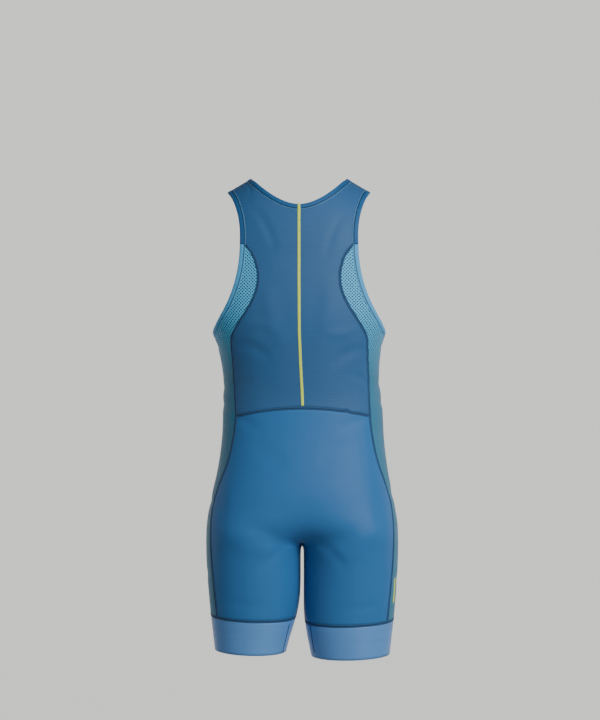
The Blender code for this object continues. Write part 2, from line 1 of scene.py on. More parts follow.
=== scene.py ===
"""Looks of the rowing unisuit: its cloth panels, seams, bindings, tape and studio.

Sizes in the tables are millimetres. The frame has +Z up, +Y the way the wearer faces
and +X the wearer's right, with its origin between the tops of the shoulder straps.
"""

import math
from functools import lru_cache

import bmesh
import bpy
import numpy as np
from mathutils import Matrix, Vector
from mathutils.bvhtree import BVHTree


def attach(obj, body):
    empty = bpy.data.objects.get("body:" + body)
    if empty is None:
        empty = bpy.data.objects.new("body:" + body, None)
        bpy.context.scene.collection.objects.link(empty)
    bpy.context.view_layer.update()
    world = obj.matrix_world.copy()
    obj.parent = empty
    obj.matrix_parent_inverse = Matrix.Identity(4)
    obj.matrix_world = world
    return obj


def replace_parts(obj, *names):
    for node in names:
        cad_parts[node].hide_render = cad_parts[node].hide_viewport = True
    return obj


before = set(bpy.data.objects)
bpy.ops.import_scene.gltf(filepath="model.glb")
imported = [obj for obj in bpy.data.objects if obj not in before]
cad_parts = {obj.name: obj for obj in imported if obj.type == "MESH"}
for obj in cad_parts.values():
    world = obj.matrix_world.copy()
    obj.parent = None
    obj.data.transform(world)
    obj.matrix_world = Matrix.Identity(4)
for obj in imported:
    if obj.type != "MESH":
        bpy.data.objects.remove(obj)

bl_info = {
    "name": "Rowing unisuit",
    "version": (1, 0, 0),
    "blender": (4, 5, 0),
    "location": "3D View > Sidebar > Unisuit",
    "description": "Builds the cloth, seams and bindings of a rowing unisuit",
    "category": "Object",
}

MM = 0.001

# How the solids' panels become one cloth
POINTS_MEET = 1e-5
SEAM_REACH = 0.0009
SMALLEST_OPENING = 0.3
WALL_TURN = math.radians(55)
CLOTH_LEVELS = 2
OPEN_EDGES = 5

PANELS = (
    "back_panel",
    "seat_panel",
    "front_panel",
    "side_panel_right",
    "side_panel_left",
    "leg_band_right",
    "leg_band_left",
)
BACK, SEAT, FRONT, SIDE_RIGHT, SIDE_LEFT, BAND_RIGHT, BAND_LEFT = range(len(PANELS))

# What each panel is cut from: the slot of its cloth, and the flat cut in metres
CUT_COLUMNS = ("slot", "width", "length", "area")
CUTS = {
    "back_panel": ("back_knit", 0.31, 0.50, 0.098),
    "seat_panel": ("seat_knit", 0.46, 0.44, 0.160),
    "front_panel": ("seat_knit", 0.48, 0.90, 0.250),
    "side_panel_right": ("side_mesh", 0.25, 0.75, 0.080),
    "side_panel_left": ("side_mesh", 0.25, 0.75, 0.080),
    "leg_band_right": ("band_satin", 0.53, 0.072, 0.034),
    "leg_band_left": ("band_satin", 0.53, 0.072, 0.034),
}

# Main creases, each along a line seen from one face: the face, across and up where it
# starts, across and up where it ends, its bend, its width and its height. A trough has a
# height below 0
CREASES = (
    ("back", -26, -700, -118, -672, -10, 16, -1.7),
    ("back", 30, -696, 126, -662, -12, 18, -2.1),
    ("back", -34, -722, -128, -716, -5, 17, 1.2),
    ("back", 40, -724, 130, -712, -6, 18, 1.5),
    ("back", -96, -520, -22, -566, 9, 17, -1.2),
    ("back", 112, -516, 34, -548, -8, 16, -1.3),
    ("back", 10, -690, 92, -752, 8, 13, -2.0),
    ("back", -8, -694, -78, -762, -6, 12, -1.6),
    ("back", -142, -455, -70, -494, 5, 11, -1.7),
    ("back", 146, -462, 76, -488, -5, 10, -1.4),
    ("back", -138, -412, -88, -392, 4, 9, -1.2),
    ("back", 140, -405, 98, -378, -3, 9, -1.3),
    ("back", -126, -322, -52, -352, 8, 13, -1.8),
    ("back", 130, -330, 60, -366, -9, 13, -1.9),
    ("back", -110, -286, -44, -292, 6, 12, 1.3),
    ("back", 112, -292, 50, -304, 5, 12, 1.4),
    ("back", -88, -60, -44, -150, 6, 11, -1.2),
    ("back", 92, -64, 50, -160, -6, 11, -1.3),
    ("back", -60, -200, -30, -330, -9, 20, 1.5),
    ("back", 58, -190, 34, -340, 8, 20, 1.6),
    ("back", -150, -590, -158, -700, 4, 13, -1.4),
    ("back", 155, -600, 160, -690, -4, 12, -1.2),
    ("back", -60, -820, -150, -812, 4, 9, -1.0),
    ("back", 62, -826, 158, -820, -3, 9, -1.1),
    ("front", -20, -700, -104, -640, 8, 14, -2.6),
    ("front", 26, -702, 114, -646, -9, 15, -2.8),
    ("front", -92, -560, -12, -588, 7, 15, -1.3),
    ("front", -30, -716, -120, -700, -4, 15, 1.6),
    ("front", 32, -714, 124, -694, 4, 15, 1.8),
    ("front", -136, -440, -64, -470, 6, 12, -1.8),
    ("front", 140, -430, 60, -456, -6, 12, -1.6),
    ("front", -120, -500, -30, -512, 7, 13, -1.3),
    ("front", 124, -388, 58, -374, -4, 11, -1.2),
    ("front", -76, -70, -34, -176, -5, 11, -1.6),
    ("front", 78, -66, 38, -190, 6, 12, -1.5),
    ("front", -118, -300, -50, -330, 8, 13, -1.6),
    ("front", 120, -310, 48, -322, -7, 13, -1.4),
    ("front", -64, -812, -150, -822, 3, 9, -1.0),
    ("front", 64, -822, 150, -808, -4, 10, -1.1),
    ("right", -60, -430, 62, -452, 6, 11, -1.7),
    ("right", 54, -396, -44, -410, -5, 10, -1.3),
    ("right", -30, -318, 40, -352, 5, 10, -1.4),
    ("right", -56, -604, 50, -640, 8, 14, -1.5),
    ("right", -50, -780, 44, -770, -4, 11, -1.1),
    ("left", -58, -446, 56, -424, -6, 11, -1.8),
    ("left", -46, -404, 50, -418, 4, 9, -1.2),
    ("left", -36, -330, 34, -314, -4, 10, -1.3),
    ("left", -52, -632, 54, -600, -8, 14, -1.6),
    ("left", -46, -764, 48, -782, 4, 11, -1.0),
)
# The way each face looks: its axis, its sign, and where on that axis it fades out
FACES = {
    "back": (1, -1, 20),
    "front": (1, 1, 20),
    "right": (0, 1, 100),
    "left": (0, -1, 100),
}
FACE_FADE = 40.0
FACE_LOOKING = 1.6
CREASE_END_FALL = 0.8
CREASE_SHOULDER = 0.7
OPEN_EDGE_CALM = 14.0

# Round which lengths along the cloth are measured, in metres
LEG_RADIUS = 0.084
FLANK_RADIUS = 0.193
FLANK_INWARDS = 0.038

# Sections of the sewn pieces: across the seam, and out from the cloth
FLATLOCK = (
    (-3.1, -0.5),
    (-2.8, 0.25),
    (-2.0, 0.55),
    (-0.8, 0.60),
    (0.0, 0.36),
    (0.8, 0.60),
    (2.0, 0.55),
    (2.8, 0.25),
    (3.1, -0.5),
    (0.0, -0.9),
)
NARROW_SEAM = (
    (-1.6, -0.4),
    (-1.2, 0.28),
    (0.0, 0.42),
    (1.2, 0.28),
    (1.6, -0.4),
    (0.0, -0.8),
)
BINDING = (
    (-5.4, -0.4),
    (-4.9, 0.30),
    (-4.0, 0.62),
    (-3.1, 0.42),
    (-2.5, 0.14),
    (-1.9, 0.14),
    (-1.2, 0.55),
    (0.2, 0.85),
    (3.2, 0.95),
    (5.8, 0.80),
    (6.9, 0.30),
    (7.3, -0.80),
    (7.1, -1.9),
    (6.3, -2.6),
    (1.0, -2.8),
    (-3.6, -2.7),
    (-5.0, -2.2),
)
TAPE = (
    (-2.75, 0.0),
    (-2.6, 0.62),
    (-1.9, 0.80),
    (0.0, 0.86),
    (1.9, 0.80),
    (2.6, 0.62),
    (2.75, 0.0),
    (0.0, -0.5),
)
THIGH_BAR = (
    (-3.6, -0.3),
    (-3.3, 0.36),
    (0.0, 0.50),
    (3.3, 0.36),
    (3.6, -0.3),
    (0.0, -0.7),
)

# The tape's line down the back: up, and across
TAPE_LINE = ((-440, 7.0), (-420, 6.2), (-360, 3.0), (-300, 0.6), (-200, 0.0), (-90, 0.0))
TAPE_OVER_BINDING = (-4.6, -1.0, 2.5, 5.4, 7.0)
TAPE_ABOVE_BINDING = 0.75

# The mesh: its pitch along a thread's slant in millimetres, and where up painted shade turns it
# darker low on the flanks
MESH_PITCH = 6.2
MESH_PAINTED_SHADE_FROM = -0.26
MESH_PAINTED_SHADE_OVER = 0.125

# Round places: an axis up each leg, and the turn from straight out towards the back
LEG_AXIS = (95.0, -5.0)
BAND_INSEAM_TURN = math.radians(152)
BAND_INSEAM = (-862, -918)
THIGH_BAR_TURN = math.radians(20)
THIGH_BAR_SPAN = (-774, -822)


def ease(share):
    share = np.clip(share, 0.0, 1.0)
    return share * share * (3 - 2 * share)


# Materials


class Shade:
    """A socket of a finish, on which sums and comparisons read as they would on paper."""

    def __init__(self, finish, socket):
        self.finish = finish
        self.socket = socket

    def maths(self, operation, first, second=0.0):
        return self.finish.node("ShaderNodeMath", {"operation": operation}, {0: first, 1: second})

    def __add__(self, other):
        return self.maths("ADD", self, other)

    def __radd__(self, other):
        return self.maths("ADD", other, self)

    def __sub__(self, other):
        return self.maths("SUBTRACT", self, other)

    def __rsub__(self, other):
        return self.maths("SUBTRACT", other, self)

    def __mul__(self, other):
        return self.maths("MULTIPLY", self, other)

    def __rmul__(self, other):
        return self.maths("MULTIPLY", other, self)

    def __truediv__(self, other):
        return self.maths("DIVIDE", self, other)

    def __rtruediv__(self, other):
        return self.maths("DIVIDE", other, self)

    def __gt__(self, other):
        return self.maths("GREATER_THAN", self, other)

    def __lt__(self, other):
        return self.maths("LESS_THAN", self, other)

    def __abs__(self):
        return self.maths("ABSOLUTE", self)

    def sine(self):
        return self.maths("SINE", self)

    def wave(self, pitch):
        """0 to 1 and back once in each pitch."""
        return 0.5 + 0.5 * (self * (math.tau / pitch)).sine()

    def between(self, low, high):
        """1 inside the band from low to high, and 0 outside it."""
        return (self > low) * (self < high)


class Finish:
    """A material under construction, with its Principled shader."""

    def __init__(self, name):
        self.material = bpy.data.materials.new(name)
        self.material.use_nodes = True
        self.tree = self.material.node_tree
        self.shader = self.tree.nodes["Principled BSDF"]

    def node(self, kind, settings=None, inputs=None, output=0):
        made = self.tree.nodes.new(kind)
        for name, value in (settings or {}).items():
            setattr(made, name, value)
        for name, value in (inputs or {}).items():
            self.put(made.inputs[name], value)
        return Shade(self, made.outputs[output])

    def put(self, socket, value):
        if isinstance(value, Shade):
            self.tree.links.new(value.socket, socket)
        elif hasattr(value, "__len__") and len(value) == 3 and socket.type == "RGBA":
            socket.default_value = (*value, 1.0)
        else:
            socket.default_value = value

    def shade(self, **values):
        for name, value in values.items():
            self.put(self.shader.inputs[name.replace("_", " ")], value)

    def place(self):
        """The point of the piece, in metres."""
        return self.node("ShaderNodeTexCoord", output="Object")

    def parts(self, vector):
        """The x, y and z of a vector."""
        split = self.node("ShaderNodeSeparateXYZ", inputs={0: vector})
        return [Shade(self, socket) for socket in split.socket.node.outputs]

    def along_across(self):
        """The piece's own map: millimetres along it and millimetres across it."""
        spot = self.node("ShaderNodeUVMap", {"uv_map": MAP_NAME})
        along, across, _ = self.parts(spot)
        return along * MAP_SCALE, across * MAP_SCALE

    def noise(self, scale, detail=2.0, stretch=(1, 1, 1)):
        placed = self.node("ShaderNodeMapping", inputs={"Vector": self.place(), "Scale": stretch})
        return self.node(
            "ShaderNodeTexNoise",
            {"noise_dimensions": "3D"},
            {"Vector": placed, "Scale": scale, "Detail": detail},
        )

    def blend(self, share, low, high):
        """From colour low to colour high."""
        return self.node(
            "ShaderNodeMix",
            {"data_type": "RGBA", "clamp_factor": True},
            {0: share, 6: low, 7: high},
            output=2,
        )

    def relief(self, height, depth):
        """Turns a height of 0 to 1 into a surface depth in metres."""
        inputs = {"Height": height, "Distance": depth, "Strength": 1.0}
        bump = self.node("ShaderNodeBump", inputs=inputs)
        self.put(self.shader.inputs["Normal"], bump)


MAP_NAME = "along_across"
MAP_SCALE = 1000.0


def darker(colour, share):
    return tuple(part * share for part in colour)


def back_knit(colour):
    """Knit with fine uneven ribs across, clouded a little towards grey at random."""
    finish = Finish("back_knit")
    along, across = finish.along_across()
    wander = finish.noise(9.0) * 2.2
    strength = finish.noise(26.0, 2.0)
    ribs = (across + wander).wave(3.3)
    wales = along.wave(1.15)
    cloudy = finish.noise(13.0, 3.0, stretch=(1, 1, 0.6))
    pale = tuple(0.6 * part + 0.4 * grey for part, grey in zip(colour, (0.075, 0.165, 0.300)))
    cloth = finish.blend(cloudy, colour, pale)
    lines = 0.10 * strength * ribs + 0.04 * wales
    finish.shade(
        Base_Color=finish.blend(lines * 3.0, cloth, darker(colour, 0.62)),
        Roughness=0.50 + 0.08 * cloudy,
        Sheen_Weight=0.03,
        Sheen_Roughness=0.40,
        Specular_IOR_Level=0.22,
    )
    finish.relief(ribs * strength * 1.2 + wales * 0.3, 0.00016)
    return finish.material


def seat_knit(colour):
    """Dense smooth knit with a satin face, in very fine wales."""
    finish = Finish("seat_knit")
    along, across = finish.along_across()
    wales = along.wave(0.95)
    courses = across.wave(1.25)
    cloudy = finish.noise(8.0, 3.0)
    fine = finish.noise(900.0, 1.0)
    weave = wales * 0.6 + courses * 0.4
    finish.shade(
        Base_Color=finish.blend(
            weave * 0.16 + cloudy * 0.34 + fine * 0.10,
            darker(colour, 1.12),
            darker(colour, 0.78),
        ),
        Roughness=0.40 + 0.10 * cloudy,
        Sheen_Weight=0.03,
        Sheen_Roughness=0.35,
        Specular_IOR_Level=0.18,
    )
    finish.relief(weave + fine * 0.4, 0.00009)
    return finish.material


def side_mesh(colour):
    """Open warp-knit mesh: pale threads crossing aslant, holes between them painted dark as shade,
    and painted shade low down on the flanks.
    """
    finish = Finish("side_mesh")
    along, across = finish.along_across()
    rising = (along + across).wave(MESH_PITCH)
    falling = (along - across).wave(MESH_PITCH)
    hole = rising * falling
    hole_painted_shade = (hole - 0.17) * 3.4
    threads = along.wave(0.8)
    uneven = finish.noise(60.0, 2.0)
    _, _, height = finish.parts(finish.place())
    # Painted shade: below this height the threads turn darker, standing for the shade on the lower
    # flanks
    low_painted_shade = (MESH_PAINTED_SHADE_FROM - height) / MESH_PAINTED_SHADE_OVER
    upper = finish.blend(uneven * 0.5 + threads * 0.2, darker(colour, 1.04), darker(colour, 0.80))
    thread_with_painted_shade = finish.blend(low_painted_shade, upper, darker(colour, 0.48))
    finish.shade(
        # Painted shade: the holes are coloured nearly black for the shaded inside of the suit seen
        # through them
        Base_Color=finish.blend(hole_painted_shade * 0.95, thread_with_painted_shade, darker(colour, 0.12)),
        Roughness=0.46 + 0.16 * hole,
        Sheen_Weight=0.02,
        Sheen_Roughness=0.40,
        Specular_IOR_Level=0.22,
    )
    finish.relief(1.0 - hole, 0.0007)
    return finish.material


def band_satin(colour):
    """Satin gripper band with fine threads round the leg."""
    finish = Finish("band_satin")
    along, across = finish.along_across()
    threads = across.wave(0.9)
    streaks = finish.noise(5.0, 3.0, stretch=(1, 1, 26))
    cloudy = finish.noise(22.0, 2.0)
    slubs = along.wave(1.4)
    finish.shade(
        Base_Color=finish.blend(
            threads * 0.16 + streaks * 0.42 + cloudy * 0.14 + slubs * 0.06,
            darker(colour, 1.14),
            darker(colour, 0.74),
        ),
        Roughness=0.34 + 0.10 * streaks,
        Sheen_Weight=0.02,
        Sheen_Roughness=0.30,
        Specular_IOR_Level=0.36,
    )
    finish.relief(threads * 0.7 + streaks * 0.5, 0.00012)
    return finish.material


def binding_knit(name, colour, light):
    """Turned binding: a light stitch line, a groove darkened with painted shade, then the folded
    band.
    """
    finish = Finish(name)
    along, across = finish.along_across()
    stitch_row = across.between(-4.9, -3.0)
    groove_and_its_shade = across.between(-3.0, -1.1)
    dashes = (along.wave(2.4) > 0.22) * stitch_row
    edge_row = across.between(4.4, 5.1) * (along.wave(2.6) > 0.3)
    rib = along.wave(1.0)
    cloudy = finish.noise(40.0, 2.0)
    cloth = finish.blend(cloudy * 0.5 + rib * 0.2, darker(colour, 1.15), darker(colour, 0.80))
    sewn = finish.blend(dashes * 0.75, cloth, light)
    # Painted shade: the groove between the stitch line and the folded band is coloured dark
    groove_painted_shade = finish.blend(groove_and_its_shade * 0.85, sewn, darker(colour, 0.25))
    finish.shade(
        Base_Color=finish.blend(edge_row * 0.25, groove_painted_shade, light),
        Roughness=0.52 + 0.10 * cloudy,
        Sheen_Weight=0.02,
        Sheen_Roughness=0.40,
        Specular_IOR_Level=0.22,
    )
    finish.relief(rib * 0.35 + dashes * 0.8 - groove_and_its_shade * 0.6, 0.00022)
    return finish.material


def flatlock_thread(name, colour, light):
    """Flat seam: two rows of needle stitches with slanted threads laid between them."""
    finish = Finish(name)
    along, across = finish.along_across()
    slant = (along + abs(across) * 1.1).wave(1.7)
    middle = across.between(-0.55, 0.55)
    needle = (across.between(-2.3, -1.5) + across.between(1.5, 2.3)) * (along.wave(2.2) > 0.3)
    cloudy = finish.noise(50.0, 2.0)
    thread = finish.blend(slant * 0.55 + cloudy * 0.3, colour, darker(colour, 0.50))
    rows = finish.blend(needle * 0.42, thread, light)
    finish.shade(
        Base_Color=finish.blend(middle * 0.40, rows, darker(colour, 0.40)),
        Roughness=0.56,
        Sheen_Weight=0.02,
        Specular_IOR_Level=0.2,
    )
    finish.relief(slant * 0.7 + needle * 0.5, 0.00028)
    return finish.material


def tape_lime(colour):
    """Woven tape, with its two rolled edges a little darker: painted shade."""
    finish = Finish("tape_lime")
    along, across = finish.along_across()
    picks = along.wave(1.0)
    edge = abs(across) > 2.15
    cloudy = finish.noise(80.0, 2.0)
    woven = finish.blend(picks * 0.35 + cloudy * 0.3, darker(colour, 1.0), darker(colour, 0.88))
    finish.shade(
        # Painted shade: the tape's edges, where it rolls down to the cloth, are coloured darker
        Base_Color=finish.blend(edge * 0.4, woven, darker(colour, 0.66)),
        Roughness=0.48 + 0.1 * cloudy,
        Specular_IOR_Level=0.22,
    )
    finish.relief(picks, 0.00016)
    return finish.material


# Cloth


def outer_face_of(node):
    """The outer skin of a panel's solid, as quads in a new bmesh."""
    skin = bmesh.new()
    skin.from_mesh(node.data)
    bmesh.ops.remove_doubles(skin, verts=skin.verts[:], dist=POINTS_MEET)
    skin.faces.ensure_lookup_table()
    unseen = set(skin.faces)
    regions = []
    while unseen:
        region, front = set(), [unseen.pop()]
        while front:
            face = front.pop()
            region.add(face)
            for edge in face.edges:
                if edge.calc_face_angle(math.pi) > WALL_TURN:
                    continue
                near = [other for other in edge.link_faces if other in unseen]
                unseen.difference_update(near)
                front += near
        regions.append(region)

    def outwardness(region):
        total = 0.0
        for face in region:
            middle = face.calc_center_median()
            total += face.calc_area() * face.normal.dot(Vector((middle.x, middle.y, 0)))
        return total

    outer = max(regions, key=outwardness)
    rest = [face for face in skin.faces if face not in outer]
    bmesh.ops.delete(skin, geom=rest, context="FACES")
    bmesh.ops.join_triangles(
        skin,
        faces=skin.faces[:],
        angle_face_threshold=math.pi,
        angle_shape_threshold=math.pi,
    )
    return skin


def sewn_panels():
    """All the panels' outer skins in one bmesh, joined along their seams."""
    cloth = bmesh.new()
    panel = cloth.faces.layers.int.new("panel")
    for number, name in enumerate(PANELS):
        skin = outer_face_of(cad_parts[name])
        twin = {vert: cloth.verts.new(vert.co) for vert in skin.verts}
        for face in skin.faces:
            cloth.faces.new([twin[vert] for vert in face.verts])[panel] = number
        skin.free()
    rims = [vert for vert in cloth.verts if vert.is_boundary]
    bmesh.ops.remove_doubles(cloth, verts=rims, dist=SEAM_REACH)
    for run in runs_of({edge for edge in cloth.edges if edge.is_boundary}):
        if sum(edge.calc_length() for edge in run) < SMALLEST_OPENING:
            number = next(iter(run)).link_faces[0][panel]
            for face in bmesh.ops.holes_fill(cloth, edges=list(run), sides=0)["faces"]:
                face[panel] = number
    return cloth


def runs_of(edges):
    """Edges sorted into the groups that hang together."""
    loose, runs = set(edges), []
    while loose:
        run, front = set(), [loose.pop()]
        while front:
            edge = front.pop()
            run.add(edge)
            near = {other for vert in edge.verts for other in vert.link_edges if other in loose}
            loose -= near
            front += near
        runs.append(run)
    return runs


def crease_shift(places, normals):
    """How far each point moves along its normal, for all the creases."""
    shift = np.zeros(len(places))
    for face, across0, z0, across1, z1, bend, width, height in CREASES:
        axis, sign, fade = FACES[face]
        across = places[:, 1 - axis] if axis else places[:, 1]
        start, end = np.array((across0, z0)), np.array((across1, z1))
        line = end - start
        length = np.hypot(*line)
        line = line / length
        aside = np.array((-line[1], line[0]))
        from_start = np.stack((across, places[:, 2]), axis=1) - start
        along = from_start @ line / length
        off = (from_start @ aside - bend * np.sin(math.pi * np.clip(along, 0, 1))) / width
        ends = np.sin(math.pi * np.clip(along, 0.0, 1.0)) ** CREASE_END_FALL
        facing = ease((sign * places[:, axis if axis else 0] - fade) / FACE_FADE)
        looking = ease(sign * normals[:, axis if axis else 0] * FACE_LOOKING)
        across_it = (1 - CREASE_SHOULDER * off**2) * np.exp(-(off**2))
        shift += height * ends * facing * looking * across_it
    return shift


@lru_cache(maxsize=None)
def whole_cloth():
    """The suit's outer face as one fine creased mesh, with each face's panel."""
    coarse = bpy.data.meshes.new("cloth_cage")
    cage = sewn_panels()
    cage.to_mesh(coarse)
    cage.free()
    holder = bpy.data.objects.new("cloth_cage", coarse)
    bpy.context.scene.collection.objects.link(holder)
    smoothing = holder.modifiers.new("fine", "SUBSURF")
    smoothing.levels = smoothing.render_levels = CLOTH_LEVELS
    graph = bpy.context.evaluated_depsgraph_get()
    fine = bpy.data.meshes.new_from_object(holder.evaluated_get(graph))
    bpy.data.objects.remove(holder)

    cloth = bmesh.new()
    cloth.from_mesh(fine)
    cloth.normal_update()
    places = np.array([vert.co for vert in cloth.verts]) / MM
    normals = np.array([vert.normal for vert in cloth.verts])
    calm = np.ones(len(places))
    rims = np.array([vert.co for vert in cloth.verts if vert.is_boundary]) / MM
    for k in range(0, len(places), 2000):
        away = np.linalg.norm(places[k : k + 2000, None] - rims[None], axis=2).min(axis=1)
        calm[k : k + 2000] = ease(away / OPEN_EDGE_CALM)
    shift = crease_shift(places, normals) * calm * MM
    for vert, normal, way in zip(cloth.verts, normals, shift):
        vert.co += Vector(normal) * way
    cloth.normal_update()
    return cloth


@lru_cache(maxsize=None)
def cloth_tree():
    return BVHTree.FromBMesh(whole_cloth())


def around(point, panel):
    """Metres round the suit for a point: round the leg on a band, else round the trunk."""
    if panel in (BAND_RIGHT, BAND_LEFT):
        side = 1 if panel == BAND_RIGHT else -1
        axis_x, axis_y = side * LEG_AXIS[0] * MM, LEG_AXIS[1] * MM
        return LEG_RADIUS * math.atan2(point.x * side - axis_x * side, axis_y - point.y)
    side = 1 if point.x >= 0 else -1
    if panel in (SIDE_RIGHT, SIDE_LEFT):
        return side * FLANK_RADIUS * math.atan2(-point.y, abs(point.x) + FLANK_INWARDS)
    return point.x


def make_panel(number, wall, shown_name):
    """One panel's piece: its part of the cloth, mapped, painted and given a wall."""
    name = PANELS[number]
    cut = dict(zip(CUT_COLUMNS, CUTS[name]))
    piece = whole_cloth().copy()
    layer = piece.faces.layers.int["panel"]
    others = [face for face in piece.faces if face[layer] != number]
    bmesh.ops.delete(piece, geom=others, context="FACES")
    spread = piece.loops.layers.uv.new(MAP_NAME)
    turn = LEG_RADIUS * math.tau
    for face in piece.faces:
        first = None
        for loop in face.loops:
            across = around(loop.vert.co, number)
            if first is None:
                first = across
            if number in (BAND_RIGHT, BAND_LEFT):
                across -= turn * round((across - first) / turn)
            loop[spread].uv = (across, loop.vert.co.z)
    made = finished(shown_name, piece, cut["slot"])
    thickness = made.modifiers.new("wall", "SOLIDIFY")
    thickness.thickness = wall
    thickness.offset = -1.0
    thickness.use_even_offset = True
    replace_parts(made, name)
    return made, cut


def finished(name, piece, slot, material=None):
    """Makes a piece's object at the origin, riding on the suit's one body."""
    mesh = bpy.data.meshes.new(name)
    piece.to_mesh(mesh)
    piece.free()
    mesh.shade_smooth()
    mesh.materials.append(material or cloth_finish(slot))
    made = bpy.data.objects.new(name, mesh)
    bpy.context.scene.collection.objects.link(made)
    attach(made, "root")
    return made


@lru_cache(maxsize=None)
def cloth_finish(slot):
    """The finish of a slot, in the colours set in the sidebar."""
    colours = bpy.context.scene.unisuit_colours
    light = tuple(colours.thread_light)
    return {
        "back_knit": lambda: back_knit(tuple(colours.back)),
        "seat_knit": lambda: seat_knit(tuple(colours.seat)),
        "side_mesh": lambda: side_mesh(tuple(colours.mesh)),
        "band_satin": lambda: band_satin(tuple(colours.band)),
        "trim_blue": lambda: binding_knit("trim_blue", tuple(colours.trim), light),
        "trim_light": lambda: binding_knit("trim_light", tuple(colours.trim_light), light),
        "tape_lime": lambda: tape_lime(tuple(colours.lime)),
        "flatlock": lambda: flatlock_thread("flatlock", tuple(colours.seam), light),
    }[slot]()


# Sewn lines


class Station:
    """A place on a sewn line: where it is, and which ways are out and across."""

    def __init__(self, at, out, across):
        self.at = at
        self.out = out
        self.across = across


def ordered(edges):
    """Edges as one run of vertices. A closed run repeats no vertex."""
    near = {}
    for edge in edges:
        for vert in edge.verts:
            near.setdefault(vert, []).append(edge.other_vert(vert))
    ends = sorted((vert for vert, others in near.items() if len(others) == 1), key=lambda v: v.co.z)
    start = ends[0] if ends else min(near, key=lambda v: (round(v.co.y, 5), v.index))
    run, seen = [start], {start}
    while True:
        onward = [vert for vert in near[run[-1]] if vert not in seen]
        if not onward:
            return run, not ends
        run.append(onward[0])
        seen.add(onward[0])


def seam_edges(first, second):
    """The cloth's edges between a panel of the first group and one of the second."""
    cloth = whole_cloth()
    layer = cloth.faces.layers.int["panel"]
    found = []
    for edge in cloth.edges:
        if len(edge.link_faces) != 2:
            continue
        one, other = (face[layer] for face in edge.link_faces)
        if (one in first and other in second) or (one in second and other in first):
            found.append(edge)
    return found


def open_edges():
    """The cloth's open edges, a closed run each."""
    runs = runs_of({edge for edge in whole_cloth().edges if edge.is_boundary})
    if len(runs) != OPEN_EDGES:
        raise RuntimeError(f"the cloth has {len(runs)} open edges, and not {OPEN_EDGES}")
    return runs


def resampled(places, outs, step, closed):
    """The line through the places at even steps, with its ways out."""
    if closed:
        places, outs = [*places, places[0]], [*outs, outs[0]]
    points, ways = np.array(places), np.array(outs)
    lengths = np.linalg.norm(np.diff(points, axis=0), axis=1)
    marks = np.concatenate(((0.0,), np.cumsum(lengths)))
    if closed:
        slopes = (np.roll(points[:-1], -1, 0) - np.roll(points[:-1], 1, 0)).T
        slopes = (slopes / (lengths + np.roll(lengths, 1))).T
        slopes = np.vstack((slopes, slopes[:1]))
    else:
        slopes = np.gradient(points, marks, axis=0)
    count = max(int(round(marks[-1] / step)), 3)
    wanted = np.linspace(0, marks[-1], count + 1)
    spans = np.clip(np.searchsorted(marks, wanted, side="right") - 1, 0, len(lengths) - 1)
    share = ((wanted - marks[spans]) / lengths[spans])[:, None]
    size = lengths[spans][:, None]
    line = (
        (1 + 2 * share) * (1 - share) ** 2 * points[spans]
        + share * (1 - share) ** 2 * size * slopes[spans]
        + share**2 * (3 - 2 * share) * points[spans + 1]
        + share**2 * (share - 1) * size * slopes[spans + 1]
    )
    way = (1 - share) * ways[spans] + share * ways[spans + 1]
    if closed:
        line, way = line[:-1], way[:-1]
    return [Vector(p) for p in line], [Vector(w).normalized() for w in way]


def stations_on(places, outs, closed, away=None, step=0.004):
    """Stations along a line on the cloth. across points away from the cloth where away is given."""
    places, outs = resampled(places, outs, step, closed)
    last = len(places) - 1
    made = []
    for k, (at, out) in enumerate(zip(places, outs)):
        after = places[(k + 1) % len(places)] if closed else places[min(k + 1, last)]
        before = places[k - 1] if closed else places[max(k - 1, 0)]
        along = (after - before).normalized()
        out = (out - along * out.dot(along)).normalized()
        across = along.cross(out).normalized()
        made.append(Station(at, out, across))
    if away is not None and sum(s.across.dot(away(s.at)) for s in made) < 0:
        for station in made:
            station.across = -station.across
    return made


def sweep(stations, section, closed, raised=0.0):
    """A section carried along the stations, with millimetres along and across on its map."""
    sewn = bmesh.new()
    ring_mark = sewn.verts.layers.int.new("ring")
    spot_mark = sewn.verts.layers.int.new("spot")

    def put(verts, number):
        station = stations[number]
        for vert in verts:
            across, out = section[vert[spot_mark]]
            vert[ring_mark] = number
            vert.co = station.at + station.across * across * MM + station.out * (out + raised) * MM

    ring = bmesh.ops.create_circle(sewn, segments=len(section), radius=MM)["verts"]
    for spot, vert in enumerate(ring):
        vert[spot_mark] = spot
    put(ring, 0)
    for number in range(1, len(stations)):
        edges = {edge for vert in ring for edge in vert.link_edges if edge.other_vert(vert) in ring}
        made = bmesh.ops.extrude_edge_only(sewn, edges=list(edges))["geom"]
        ring = [item for item in made if isinstance(item, bmesh.types.BMVert)]
        put(ring, number)
    if closed:
        rims = [edge for edge in sewn.edges if edge.is_boundary]
        bmesh.ops.bridge_loops(sewn, edges=rims)
    else:
        bmesh.ops.holes_fill(sewn, edges=[edge for edge in sewn.edges if edge.is_boundary], sides=0)
    bmesh.ops.recalc_face_normals(sewn, faces=sewn.faces[:])
    lengths = [(b.at - a.at).length for a, b in zip(stations, stations[1:] + stations[:1])]
    marks = [0.0, *np.cumsum(lengths)]
    spread = sewn.loops.layers.uv.new(MAP_NAME)
    for face in sewn.faces:
        rings = {vert[ring_mark] for vert in face.verts}
        wraps = closed and rings == {0, len(stations) - 1}
        for loop in face.loops:
            number = loop.vert[ring_mark]
            if wraps and number == 0:
                number = len(stations)
            loop[spread].uv = (marks[number], section[loop.vert[spot_mark]][0] * MM)
    return sewn


def seam_line(first, second, section=FLATLOCK, raised=0.0):
    run, closed = ordered(seam_edges(first, second))
    stations = stations_on([v.co for v in run], [v.normal for v in run], closed)
    return sweep(stations, section, closed, raised)


